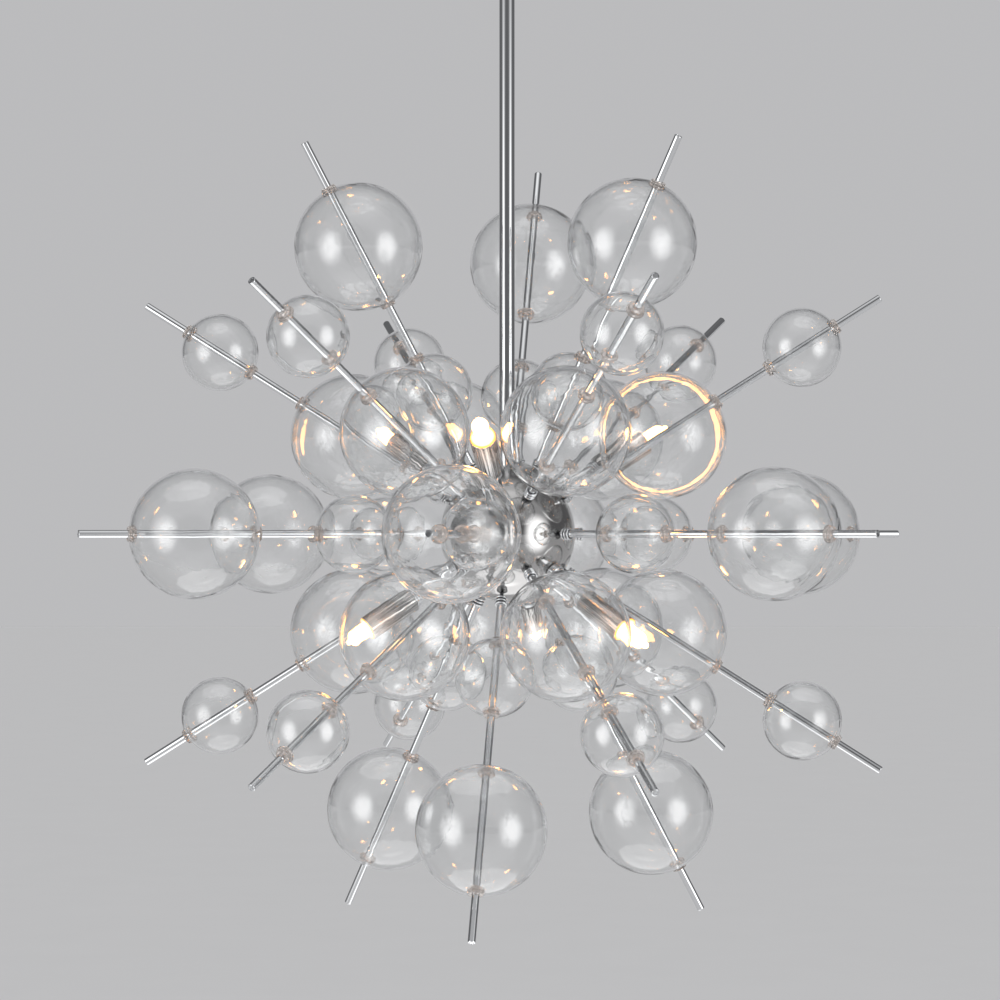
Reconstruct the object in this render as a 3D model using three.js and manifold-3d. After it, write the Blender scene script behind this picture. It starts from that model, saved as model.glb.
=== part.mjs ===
// Bubble chandelier. Polished rods stand out of a polished ball, and each rod threads two blown-glass globes,
// one large and one small, held at their poles by clear grommets. Small lamps sit between the inner globes.
// The ball hangs on a stem from a ceiling canopy, where a ball seat lets it hang straight and turn.
// Lengths are in millimetres and angles in degrees. +Z is up, z = 0 is the ceiling, and the front is -Y.
import * as THREE from "three";
import { mergeVertices } from "three/addons/utils/BufferGeometryUtils.js";
import Module from "manifold-3d";

const wasm = await Module();
wasm.setup();

// Fits
const seatGap = 0.3; // between pieces that touch
const drillGap = 0.6; // round a stud in its drilled hole
const turnGap = 0.6; // between pieces that turn in each other
const overrun = 5; // how far a cut runs past the wall it cuts

// Ball hub
const dropLength = 640; // from the ceiling to the ball's centre
const hubRadius = 70;
const hubWall = 6;

// Rods, with lengths along the rod
const rodRadius = 4;
const studRadius = 2;
const studShown = 4; // between the ball and the ferrule
const ferruleRadius = 6.5;
const ferruleLength = 9;
const firstStop = 125; // from the ball's centre to the inner globe's near pole
const betweenGlobes = 62;
const tipOverhang = 53;

// Glass globes and their grommets
const largeRadius = 65;
const smallRadius = 40;
const glassWall = 2;
const grommetRadius = 8;
const grommetLip = 3; // how far a grommet stands out past the pole

// Lamps, with lengths along the lamp
const lampNippleRadius = 4;
const lampBaseRadius = 9;
const lampBaseLength = 8;
const lampNeckRadius = 7.5;
const lampNeckLength = 36;
const lampShoulderRadius = 11;
const lampShoulderLength = 8;
const lampSleeveRadius = 13.5;
const lampSleeveLength = 57.5;
const bulbRadius = 8.5;
const bulbLength = 25;
const bulbTipRadius = 3.5;
const bulbTipLength = 7;

// Stem
const stemRadius = 8;
const stemWall = 1.5;
const stemAbovePivot = 18;
const stemNutRadius = 13;
const stemNutHeight = 6;
const lockRingRadius = 12; // inside the ball, under its wall
const lockRingHeight = 4;
const lockSeatRadius = 14; // flat under the ball's wall for the lock ring

// Swivel ball
const pivotDepth = 30; // from the ceiling to the ball's centre
const swivelRadius = 20;
const swivelTop = 9; // flat that the nut sits on, above the ball's centre
const swivelBottom = 15;

// Canopy
const canopyRadius = 65;
const canopyHeight = 28;
const canopyWall = 1.5;
const canopyBevel = 4;
const canopyHoleRadius = 15.5; // round the stem, wide enough for its tilt

// Ceiling bracket
const bracketLength = 110;
const bracketWidth = 22;
const bracketThickness = 3;
const bracketStudSpread = 45; // from the middle to each stud
const bracketStudRadius = 2;
const bracketSlotSpread = 26; // from the middle to each screw slot
const bracketSlotLength = 14;
const bracketSlotWidth = 5;
const capNutRadius = 5;
const capNutHeight = 5;
const capNutDome = 3;

// Layout round the ball. Azimuth 0 is the front, and a positive azimuth is to the right.
const frontAzimuth = -9;
const ringCount = 6;
const crownCount = 3;
const ringStep = 360 / ringCount;
const ringElevation = 32;
const crownElevation = 61;
const rings = [
  ring("equator", 0, frontAzimuth, ringCount, "small"),
  ring("upper", ringElevation, frontAzimuth + ringStep / 2, ringCount, "large"),
  ring("lower", -ringElevation, frontAzimuth + ringStep / 2, ringCount, "large"),
  ring("top", crownElevation, frontAzimuth + ringStep, crownCount, "small"),
  ring("bottom", -crownElevation, frontAzimuth, crownCount, "small"),
];
const lampRings = [
  ring("upper", ringElevation, frontAzimuth, crownCount),
  ring("lower", -ringElevation, frontAzimuth + ringStep, crownCount),
];

// Facets
const rodSides = 7;
const largeRows = 4;
const smallRows = 3;
const hubSides = 20;
const hubRows = 8;
const ballSides = 14;
const ballRows = 4;
const canopySides = 20;
const drillSides = 6;
const slotFacets = 4;

// Materials
const chrome = { color: 0xd9dadc, roughness: 0.08, metalness: 1 };
const steel = { color: 0xa8abb0, roughness: 0.35, metalness: 1 };
const brass = { color: 0xc9a961, roughness: 0.3, metalness: 1 };
const glass = { color: 0xf2f4f5, roughness: 0.02, metalness: 0, transparent: true, opacity: 0.35 };
const rodAndGlass = { color: 0xdfe1e4, roughness: 0.1, metalness: 0.5, transparent: true, opacity: 0.6 };
const lampMetal = { color: 0xe6dccb, roughness: 0.15, metalness: 0.8 };

// A ring of evenly spaced arms or lamps. For arms, inner says which globe is nearer the ball.
function ring(name, elevation, first, count, inner) {
  return { name, elevation, first, count, inner };
}

// A revolve about Y of a profile of [radius, height] points. Its sides keep their facets in line.
function revolve(points, sides) {
  return new THREE.LatheGeometry(
    points.map(([radius, height]) => new THREE.Vector2(radius, height)),
    sides,
  );
}

// How far a sphere's surface lies from its centre plane, at a distance from its axis.
function rise(radius, offAxis) {
  return Math.sqrt(radius ** 2 - offAxis ** 2);
}

// Points of a circle between two angles in radians, both ends included.
function arc(radius, centre, from, to, rows) {
  const points = [];
  for (let row = 0; row <= rows; row += 1) {
    const angle = from + ((to - from) * row) / rows;
    points.push([radius * Math.cos(angle), centre + radius * Math.sin(angle)]);
  }
  return points;
}

// Points of a globe's skin between its poles, without the poles.
function skin(radius, centre, rows) {
  const end = Math.PI / 2 - Math.PI / (rows + 1);
  return arc(radius, centre, -end, end, rows - 1);
}

// The unit vector of an azimuth and an elevation.
function directionOf(azimuth, elevation) {
  const a = THREE.MathUtils.degToRad(azimuth);
  const e = THREE.MathUtils.degToRad(elevation);
  return new THREE.Vector3(Math.cos(e) * Math.sin(a), -Math.cos(e) * Math.cos(a), Math.sin(e));
}

// A geometry as a solid that can be cut and joined.
function solidOf(geometry) {
  const bare = geometry.clone();
  bare.deleteAttribute("normal");
  bare.deleteAttribute("uv");
  const merged = mergeVertices(bare);
  const vertProperties = merged.attributes.position.array;
  const triVerts = new Uint32Array(merged.index.array);
  return new wasm.Manifold(new wasm.Mesh({ numProp: 3, vertProperties, triVerts }));
}

// A solid as a geometry.
function geometryOf(solid) {
  const mesh = solid.getMesh();
  const geometry = new THREE.BufferGeometry();
  geometry.setAttribute("position", new THREE.BufferAttribute(mesh.vertProperties, mesh.numProp));
  geometry.setIndex(new THREE.BufferAttribute(mesh.triVerts, 1));
  geometry.computeVertexNormals();
  return geometry;
}

// A drill along a direction from the origin, between two distances.
function drill(direction, radius, from, to) {
  const geometry = new THREE.CylinderGeometry(radius, radius, to - from, drillSides);
  const turn = new THREE.Quaternion().setFromUnitVectors(THREE.Object3D.DEFAULT_UP, direction);
  geometry.applyQuaternion(turn);
  geometry.translate(...direction.clone().multiplyScalar((from + to) / 2));
  return solidOf(geometry);
}

// A cylinder parallel to Z, from one height to another.
function post(x, radius, bottom, top, sides) {
  const geometry = new THREE.CylinderGeometry(radius, radius, top - bottom, sides);
  geometry.rotateX(Math.PI / 2);
  geometry.translate(x, 0, (bottom + top) / 2);
  return solidOf(geometry);
}

// A named mesh with a material of its own.
function piece(name, geometry, look) {
  const mesh = new THREE.Mesh(geometry, new THREE.MeshStandardMaterial(look));
  mesh.name = name;
  return mesh;
}

// Large globe: a blown shell with a grommet in each pole. The rod runs free through both grommets.
function largeGlobeGeometry() {
  const bore = rodRadius + seatGap;
  const lip = largeRadius + grommetLip;
  const seat = rise(largeRadius, grommetRadius);
  const inside = rise(largeRadius - glassWall, bore);
  return revolve(
    [
      [bore, -lip],
      [grommetRadius, -lip],
      [grommetRadius, -seat],
      ...skin(largeRadius, 0, largeRows),
      [grommetRadius, seat],
      [grommetRadius, lip],
      [bore, lip],
      [bore, inside],
      ...skin(largeRadius - glassWall, 0, largeRows).reverse(),
      [bore, -inside],
      [bore, -lip],
    ],
    rodSides,
  );
}

// Rod with its stud, ferrule and small globe. The globe is joined to the rod at its near grommet,
// and its far grommet clears the rod, so the globe stays open there.
function rodGeometry(smallCentre) {
  const studStart = hubRadius - hubWall;
  const ferruleStart = hubRadius + studShown;
  const ferruleEnd = ferruleStart + ferruleLength;
  const tip = rodTip();
  const bore = rodRadius + seatGap;
  const lip = smallRadius + grommetLip;
  const seat = rise(smallRadius, grommetRadius);
  const inside = smallRadius - glassWall;
  return revolve(
    [
      [0, studStart],
      [studRadius, studStart],
      [studRadius, ferruleStart],
      [ferruleRadius, ferruleStart],
      [ferruleRadius, ferruleEnd],
      [rodRadius, ferruleEnd],
      [rodRadius, smallCentre - lip],
      [grommetRadius, smallCentre - lip],
      [grommetRadius, smallCentre - seat],
      ...skin(smallRadius, smallCentre, smallRows),
      [grommetRadius, smallCentre + seat],
      [grommetRadius, smallCentre + lip],
      [bore, smallCentre + lip],
      [bore, smallCentre + rise(inside, bore)],
      ...skin(inside, smallCentre, smallRows).reverse(),
      [rodRadius, smallCentre - rise(inside, rodRadius)],
      [rodRadius, tip],
      [0, tip],
    ],
    rodSides,
  );
}

// Distance from the ball's centre to a rod's tip.
function rodTip() {
  return firstStop + 2 * largeRadius + betweenGlobes + 2 * smallRadius + tipOverhang;
}

// One arm along Y from the ball's centre: a rod with its small globe, and the large globe.
function buildArm({ name, inner }, number) {
  const smallInside = inner === "small";
  const innerRadius = smallInside ? smallRadius : largeRadius;
  const outerRadius = smallInside ? largeRadius : smallRadius;
  const innerCentre = firstStop + innerRadius;
  const outerCentre = innerCentre + innerRadius + betweenGlobes + outerRadius;
  const arm = new THREE.Group();
  arm.add(piece(`rod_${name}_${number}`, rodGeometry(smallInside ? innerCentre : outerCentre), rodAndGlass));
  const globe = piece(`large_globe_${name}_${number}`, largeGlobeGeometry(), glass);
  globe.position.y = smallInside ? outerCentre : innerCentre;
  arm.add(globe);
  return arm;
}

// Lamp along Y from the ball's centre: threaded nipple, base, neck, sleeve and bulb.
function lampGeometry() {
  const baseStart = hubRadius + seatGap;
  const neckStart = baseStart + lampBaseLength;
  const shoulderStart = neckStart + lampNeckLength;
  const sleeveStart = shoulderStart + lampShoulderLength;
  const mouth = sleeveStart + lampSleeveLength;
  const bulbEnd = mouth + bulbLength;
  const nippleStart = hubRadius - hubWall;
  return revolve(
    [
      [0, nippleStart],
      [lampNippleRadius, nippleStart],
      [lampNippleRadius, baseStart],
      [lampBaseRadius, baseStart],
      [lampBaseRadius, neckStart],
      [lampNeckRadius, neckStart],
      [lampNeckRadius, shoulderStart],
      [lampShoulderRadius, shoulderStart],
      [lampSleeveRadius, sleeveStart],
      [lampSleeveRadius, mouth],
      [bulbRadius, mouth],
      [bulbRadius, bulbEnd],
      [bulbTipRadius, bulbEnd + bulbTipLength],
      [0, bulbEnd + bulbTipLength],
    ],
    rodSides,
  );
}

// Calls a function with the direction, ring and number of each place in a table of rings.
function eachPlace(table, visit) {
  for (const row of table) {
    for (let index = 0; index < row.count; index += 1) {
      const azimuth = row.first + (index * 360) / row.count;
      visit(directionOf(azimuth, row.elevation), row, index + 1);
    }
  }
}

// Ball hub: a hollow ball about Z, drilled for the stem, for every rod's stud and for every lamp's nipple.
function hubGeometry() {
  const cavityRadius = hubRadius - hubWall;
  const bore = stemRadius + drillGap;
  const outerTop = Math.acos(bore / hubRadius);
  const innerTop = Math.acos(lockSeatRadius / cavityRadius);
  const outer = arc(hubRadius, 0, -Math.PI / 2, outerTop, hubRows);
  const inner = arc(cavityRadius, 0, -Math.PI / 2, innerTop, hubRows).reverse();
  const seat = [bore, rise(cavityRadius, lockSeatRadius)];
  const shell = revolve([...outer, seat, ...inner], hubSides);
  shell.rotateX(Math.PI / 2);
  let ball = solidOf(shell);
  const from = cavityRadius - overrun;
  const to = hubRadius + overrun;
  eachPlace(rings, (direction) => {
    ball = ball.subtract(drill(direction, studRadius + drillGap, from, to));
  });
  eachPlace(lampRings, (direction) => {
    ball = ball.subtract(drill(direction, lampNippleRadius + drillGap, from, to));
  });
  return geometryOf(ball);
}

// Stem about Z, measured from the ball's centre: a tube with a lock ring under the ball's wall.
function stemGeometry() {
  const boreRadius = stemRadius - stemWall;
  const ringTop = rise(hubRadius - hubWall, lockSeatRadius) - seatGap;
  const ringBottom = ringTop - lockRingHeight;
  const top = dropLength - pivotDepth + stemAbovePivot;
  const tube = revolve(
    [
      [boreRadius, ringBottom],
      [lockRingRadius, ringBottom],
      [lockRingRadius, ringTop],
      [stemRadius, ringTop],
      [stemRadius, top],
      [boreRadius, top],
      [boreRadius, ringBottom],
    ],
    ballSides,
  );
  return tube.rotateX(Math.PI / 2);
}

// Hexagon nut about Z that carries the stem on the swivel ball. Its height starts at its underside.
function stemNutGeometry() {
  const nut = post(0, stemNutRadius, 0, stemNutHeight, drillSides);
  const bore = post(0, stemRadius + drillGap, -overrun, stemNutHeight + overrun, ballSides);
  return geometryOf(nut.subtract(bore));
}

// Swivel ball about Z: cut flat above and below, and bored for the stem.
function swivelGeometry() {
  const bore = stemRadius + turnGap;
  const from = -Math.asin(swivelBottom / swivelRadius);
  const to = Math.asin(swivelTop / swivelRadius);
  const ball = revolve(
    [
      [bore, -swivelBottom],
      ...arc(swivelRadius, 0, from, to, ballRows),
      [bore, swivelTop],
      [bore, -swivelBottom],
    ],
    ballSides,
  );
  return ball.rotateX(Math.PI / 2);
}

// Canopy about Z, open to the ceiling: a bevelled cup with a round seat for the swivel ball.
function canopyGeometry() {
  const seatRadius = swivelRadius + turnGap;
  const cupRadius = seatRadius + canopyWall;
  const floor = canopyWall - canopyHeight;
  const cupEnd = -Math.acos(canopyHoleRadius / cupRadius);
  const seatEnd = -Math.acos(canopyHoleRadius / seatRadius);
  const bevelInset = canopyBevel + canopyWall * Math.tan(Math.PI / 8);
  const cup = revolve(
    [
      ...arc(cupRadius, -pivotDepth, cupEnd, 0, ballRows),
      [cupRadius, -canopyHeight],
      [canopyRadius - canopyBevel, -canopyHeight],
      [canopyRadius, canopyBevel - canopyHeight],
      [canopyRadius, 0],
      [canopyRadius - canopyWall, 0],
      [canopyRadius - canopyWall, bevelInset - canopyHeight],
      [canopyRadius - bevelInset, floor],
      [seatRadius, floor],
      ...arc(seatRadius, -pivotDepth, 0, seatEnd, ballRows),
      [canopyHoleRadius, -pivotDepth - rise(cupRadius, canopyHoleRadius)],
    ],
    canopySides,
  );
  cup.rotateX(Math.PI / 2);
  let canopy = solidOf(cup);
  for (const side of [-1, 1]) {
    const x = side * bracketStudSpread;
    const radius = bracketStudRadius + drillGap;
    canopy = canopy.subtract(post(x, radius, -canopyHeight - overrun, floor + overrun, rodSides));
  }
  return geometryOf(canopy);
}

// Ceiling bracket: a slotted steel bar with a stud near each end. A cap nut on each stud holds the canopy.
function bracketGeometry() {
  const outline = slotShape(0, bracketLength, bracketWidth);
  for (const side of [-1, 1]) {
    outline.holes.push(slotShape(side * bracketSlotSpread, bracketSlotLength, bracketSlotWidth));
  }
  const bar = new THREE.ExtrudeGeometry(outline, {
    depth: bracketThickness,
    bevelEnabled: false,
    curveSegments: slotFacets,
  });
  bar.translate(0, 0, -bracketThickness);
  let bracket = solidOf(bar);
  const nutTop = -canopyHeight - seatGap;
  for (const side of [-1, 1]) {
    const x = side * bracketStudSpread;
    const shank = post(x, bracketStudRadius, nutTop - capNutHeight, -bracketThickness / 2, rodSides);
    bracket = bracket.add(shank).add(solidOf(capNutGeometry(x, nutTop)));
  }
  return geometryOf(bracket);
}

// Hexagon cap nut about Z, with its flat side up and its dome below.
function capNutGeometry(x, top) {
  const nut = revolve(
    [
      [0, -capNutHeight - capNutDome],
      [bracketStudRadius, -capNutHeight - capNutDome],
      [capNutRadius, -capNutHeight],
      [capNutRadius, 0],
      [0, 0],
    ],
    drillSides,
  );
  nut.rotateX(Math.PI / 2);
  return nut.translate(x, 0, top);
}

// A slot outline along X: two half circles joined by straight sides.
function slotShape(centre, length, width) {
  const radius = width / 2;
  const run = length / 2 - radius;
  const shape = new THREE.Shape();
  shape.absarc(centre + run, 0, radius, -Math.PI / 2, Math.PI / 2, false);
  shape.absarc(centre - run, 0, radius, Math.PI / 2, -Math.PI / 2, false);
  shape.closePath();
  return shape;
}

// Pieces fixed to the ceiling, and the swivel ball in their seat
function buildCeilingMount() {
  const mount = new THREE.Group();
  mount.add(piece("ceiling_bracket", bracketGeometry(), steel));
  mount.add(piece("canopy", canopyGeometry(), chrome));
  const swivel = piece("swivel_ball", swivelGeometry(), brass);
  swivel.position.z = -pivotDepth;
  mount.add(swivel);
  const nut = piece("stem_nut", stemNutGeometry(), brass);
  nut.position.z = swivelTop + seatGap - pivotDepth;
  mount.add(nut);
  return mount;
}

// Everything that hangs on the stem, built round the ball's centre
function buildPendant() {
  const pendant = new THREE.Group();
  pendant.position.z = -dropLength;
  pendant.add(piece("stem", stemGeometry(), chrome));
  pendant.add(piece("hub_ball", hubGeometry(), chrome));
  eachPlace(rings, (direction, row, number) => {
    const arm = buildArm(row, number);
    arm.quaternion.setFromUnitVectors(THREE.Object3D.DEFAULT_UP, direction);
    pendant.add(arm);
  });
  eachPlace(lampRings, (direction, row, number) => {
    const lamp = piece(`lamp_${row.name}_${number}`, lampGeometry(), lampMetal);
    lamp.quaternion.setFromUnitVectors(THREE.Object3D.DEFAULT_UP, direction);
    pendant.add(lamp);
  });
  return pendant;
}

const chandelier = new THREE.Group();
chandelier.add(buildCeilingMount());
chandelier.add(buildPendant());

export default chandelier;
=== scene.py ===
"""Bubble chandelier: glass globes threaded on polished rods round a polished ball, six small lamps between
them, and the stem, swivel and canopy that hang it from a ceiling. Lengths are in metres, +Z is up, z = 0 is
the ceiling and the front is -Y. Every new piece is made of surfaces of revolution worked out with numpy,
round the line of a rod, a lamp, the stem or a canopy stud."""

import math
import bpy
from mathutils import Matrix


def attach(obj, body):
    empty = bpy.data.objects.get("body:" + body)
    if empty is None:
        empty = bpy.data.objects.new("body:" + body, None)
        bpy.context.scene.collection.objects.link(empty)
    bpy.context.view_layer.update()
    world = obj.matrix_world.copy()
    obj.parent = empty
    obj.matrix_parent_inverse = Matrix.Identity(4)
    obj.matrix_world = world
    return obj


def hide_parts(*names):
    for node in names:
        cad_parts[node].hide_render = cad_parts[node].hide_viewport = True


bl_info = {
    "name": "Bubble Chandelier",
    "version": (1, 0, 0),
    "blender": (4, 5, 0),
    "location": "View3D > Sidebar > Chandelier",
    "description": "Dresses the chandelier's frame with glass, rods, lamps and metalwork, and sets its stage",
    "category": "Object",
}

import bmesh
import bpy
import numpy as np
from bpy.props import FloatProperty, FloatVectorProperty, PointerProperty
from mathutils import Vector

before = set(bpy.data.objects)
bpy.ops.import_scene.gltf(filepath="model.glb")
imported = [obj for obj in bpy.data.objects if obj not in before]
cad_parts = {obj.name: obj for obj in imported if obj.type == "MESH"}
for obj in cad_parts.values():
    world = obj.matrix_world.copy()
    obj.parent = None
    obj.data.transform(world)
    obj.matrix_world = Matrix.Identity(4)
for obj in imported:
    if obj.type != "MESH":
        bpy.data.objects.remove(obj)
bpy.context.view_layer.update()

MM = 0.001
UP = (0.0, 0.0, 1.0)
PENDANT, SWIVEL, MOUNT = "pendant", "swivel", "ceiling_mount"

# Room between a rod and what is threaded on it
ROOM = 0.05 * MM

# A rod's end from its edge to its middle: shares of the rod's radius, and depths below its tip in millimetres
END_RADII = np.array([1.0, 0.96, 0.87, 0.64, 0.58, 0.5, 0.44, 0.0])
END_DEPTHS = np.array([0.6, 0.2, 0.0, 0.0, 0.6, 0.6, 0.1, 0.1])

# The dark cards round the object, as places from the front (0) to the back (1) and how dark it is there
CARDS = ((0.0, 1), (0.06, 1), (0.12, 0), (0.36, 0), (0.44, 1), (0.88, 1), (0.95, 0))

# A Mix node's sockets for two colours and for the colour that comes out
FIRST_COLOUR, SECOND_COLOUR, MIXED_COLOUR = 6, 7, 2


# Sizes and colours that a user would change


def size(name, millimetres, description):
    """A length property in metres whose default is given in millimetres."""
    return FloatProperty(name=name, description=description, default=millimetres * MM, min=0.0, unit="LENGTH")


def turn(name, degrees, description):
    """An angle property whose default is given in degrees."""
    return FloatProperty(name=name, description=description, default=math.radians(degrees), unit="ROTATION")


def colour(name, rgb, description):
    """A colour property."""
    return FloatVectorProperty(
        name=name, description=description, default=rgb, subtype="COLOR", min=0.0, max=1.0
    )


def amount(name, value, description):
    """A plain number property."""
    return FloatProperty(name=name, description=description, default=value, min=0.0, max=100.0)


class ChandelierArms(bpy.types.PropertyGroup):
    """The ball and the rods that stand out of it."""

    drop: size("Drop", 640, "From the ceiling to the ball's centre")
    hub_radius: size("Ball radius", 70, "Radius of the polished ball")
    rod_radius: size("Rod radius", 4, "Radius of a rod's tube")
    stud_radius: size("Stud radius", 2, "Radius of the threaded stud between ball and ferrule")
    stud_shown: size("Stud shown", 4, "Length of stud between ball and ferrule")
    ferrule_radius: size("Ferrule radius", 6.5, "Radius of the ringed cap on a rod's inner end")
    ferrule_length: size("Ferrule length", 9, "Length of the ringed cap")
    first_stop: size("First globe", 125, "From the ball's centre to the first globe")
    between: size("Between globes", 62, "From one globe to the next")
    overhang: size("Overhang", 53, "From the second globe to the rod's tip")
    ring_elevation: turn("Ring elevation", 32, "Elevation of the upper and lower rings of rods")
    crown_elevation: turn("Crown elevation", 61, "Elevation of the top and bottom rods")
    front: turn("Front rod", -9, "Azimuth of the rod nearest to the front")


class ChandelierGlobes(bpy.types.PropertyGroup):
    """The blown-glass globes and the grommets in their poles."""

    large_radius: size("Large radius", 65, "Radius of a large globe")
    small_radius: size("Small radius", 40, "Radius of a small globe")
    wall: size("Glass wall", 2, "Thickness of the blown glass")
    hole_radius: size("Hole radius", 6.2, "Radius of the hole in each pole")
    flange_radius: size("Flange radius", 8.2, "Radius of a grommet outside the glass")
    inner_flange_radius: size("Inner flange radius", 9, "Radius of a grommet inside the glass")
    flange_height: size("Flange height", 3, "How far a grommet stands out past the pole")
    face_tint: colour("Glass", (0.985, 0.988, 0.988), "Glass seen straight through")
    rim_tint: colour("Glass rim", (0.34, 0.36, 0.38), "Glass seen along its wall")
    grommet_tint: colour("Grommet", (1.0, 0.94, 0.90), "Clear soft plastic of the grommets")


class ChandelierLamps(bpy.types.PropertyGroup):
    """The lamps that stand between the inner globes."""

    base_radius: size("Base radius", 9, "Radius of the ribbed base on the ball")
    neck_radius: size("Neck radius", 7.5, "Radius of the neck")
    collar_radius: size("Collar radius", 11, "Radius of the ribbed collar behind the sleeve")
    collar_start: size("Collar start", 114.3, "From the ball's centre to the collar")
    sleeve_start: size("Sleeve start", 122.3, "From the ball's centre to the sleeve's inner end")
    mouth_at: size("Mouth", 179.8, "From the ball's centre to the sleeve's mouth")
    sleeve_radius: size("Sleeve radius", 13.5, "Radius of the sleeve")
    bulb_shown: size("Bulb shown", 32, "From the sleeve's mouth to the end of the bulb's tip")
    bulb_radius: size("Bulb radius", 8.5, "Radius of the capsule bulb")
    tip_radius: size("Bulb tip radius", 3.3, "Radius of the bulb's sealed tip")
    glow: colour("Glow", (1.0, 0.42, 0.10), "Colour of the lit bulb")
    edge_glow: colour("Edge glow", (0.045, 0.018, 0.002), "Colour and brightness of the lit bulb's edge")
    # The mouth ring is no lamp: its glow and amber edge are painted bulb light
    mouth_painted_glow: colour("Mouth glow", (1.0, 0.80, 0.42), "Colour of the lit ring in the sleeve's mouth")
    mouth_painted_edge: colour("Mouth edge", (0.62, 0.33, 0.03), "Colour of that ring's edge")
    strength: amount("Strength", 45.0, "Brightness of the lit bulb")


class ChandelierHanging(bpy.types.PropertyGroup):
    """The stem, swivel and canopy."""

    stem_radius: size("Stem radius", 8, "Radius of the stem")
    stem_wall: size("Stem wall", 1.5, "Wall of the stem's tube")
    pivot_depth: size("Pivot depth", 30, "From the ceiling to the swivel ball's centre")
    stem_above: size("Stem above pivot", 18, "Length of stem above the swivel ball's centre")
    swivel_radius: size("Swivel radius", 20, "Radius of the swivel ball")
    swivel_top: size("Swivel top", 9, "Height of the flat that the nut sits on, above the ball's centre")
    swivel_bottom: size("Swivel bottom", 15, "Depth of the swivel ball's lower flat")
    nut_radius: size("Nut radius", 11.2, "From the middle of the stem's nut to its flats")
    canopy_radius: size("Canopy radius", 65, "Radius of the canopy")
    canopy_height: size("Canopy height", 28, "Height of the canopy's rim")
    canopy_wall: size("Canopy wall", 1.5, "Sheet thickness of the canopy")
    canopy_hole: size("Canopy hole", 15.5, "Radius of the hole round the stem")
    stud_spread: size("Stud spread", 45, "From the middle to each canopy stud")


class ChandelierStage(bpy.types.PropertyGroup):
    """The floor, lights and camera."""

    background: colour("Background", (0.50, 0.50, 0.51), "Backdrop that camera, metal and glass see")
    shade: colour("Dark cards", (0.15, 0.15, 0.155), "Cards round the object that reflections show")
    floor_depth: size("Floor depth", 2400, "From the ceiling to the floor")
    floor_reach: size("Floor reach", 60000, "Half the side of the floor")
    camera_distance: size("Camera distance", 3435, "From the ball's centre to the camera")
    side_light: amount("Side light", 9.0, "Brightness in the middle of the two side lights")
    top_light: amount("Top light", 2.0, "Brightness in the middle of the light above")
    low_light: amount("Low light", 3.1, "Brightness of the panel below")
    low_core: amount("Low core", 2.6, "Brightness of the lamp in the middle of that panel")
    daylight: amount("Daylight", 0.8, "Plain light from all sides on what isn't glossy")


SETTINGS = {
    "chandelier_arms": ChandelierArms,
    "chandelier_globes": ChandelierGlobes,
    "chandelier_lamps": ChandelierLamps,
    "chandelier_hanging": ChandelierHanging,
    "chandelier_stage": ChandelierStage,
}


def settings(*names):
    """The scene's groups of settings with these names."""
    return [getattr(bpy.context.scene, "chandelier_" + name) for name in names]


# Layout


def hub_centre(arms):
    """The ball's centre."""
    return np.array([0.0, 0.0, -arms.drop])


def direction(azimuth, elevation):
    """The unit vector of an azimuth, zero at the front and growing to the right, and an elevation."""
    level = math.cos(elevation)
    return np.array([level * math.sin(azimuth), -level * math.cos(azimuth), math.sin(elevation)])


def around(rings):
    """Yields (label, direction, ...) of each place in (name, elevation, first azimuth, count, ...) rings."""
    for name, elevation, first, count, *rest in rings:
        for index in range(count):
            yield f"{name}_{index + 1}", direction(first + index * math.tau / count, elevation), *rest


def rods_of(arms):
    """Yields (label, direction, whether the small globe is inside) of each rod. The upper, lower and top
    rings start half a step further round."""
    front, high, crown = arms.front, arms.ring_elevation, arms.crown_elevation
    half_step, half_crown_step = math.tau / 12, math.tau / 6
    rings = (
        ("equator", 0.0, front, 6, True),
        ("upper", high, front + half_step, 6, False),
        ("lower", -high, front + half_step, 6, False),
        ("top", crown, front + half_crown_step, 3, True),
        ("bottom", -crown, front, 3, True),
    )
    return around(rings)


def lamps_of(arms):
    """Yields (label, direction) of each lamp: two rings of three, in the gaps of the rings of rods."""
    front, high, half_step = arms.front, arms.ring_elevation, math.tau / 6
    return around((("upper", high, front, 3), ("lower", -high, front + half_step, 3)))


def stations(arms, globes, small_inside):
    """How far the large and the small globe's centres and the rod's tip lie from the ball's centre."""
    inner = globes.small_radius if small_inside else globes.large_radius
    outer = globes.large_radius if small_inside else globes.small_radius
    near = arms.first_stop + inner
    far = near + inner + arms.between + outer
    tip = far + outer + arms.overhang
    return (far, near, tip) if small_inside else (near, far, tip)


def globes_on(arms, globes, along, small_inside):
    """The (kind, radius, centre) of both globes on a rod."""
    large, small, _ = stations(arms, globes, small_inside)
    centre = hub_centre(arms)
    return (
        ("large", globes.large_radius, centre + along * large),
        ("small", globes.small_radius, centre + along * small),
    )


# Surfaces


def basis(along):
    """Two unit vectors square to a direction and to each other, so that the three are right-handed."""
    helper = (0.0, 0.0, 1.0) if abs(along[2]) < 0.9 else (1.0, 0.0, 0.0)
    side = np.cross(helper, along)
    side /= np.linalg.norm(side)
    return side, np.cross(along, side)


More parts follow.
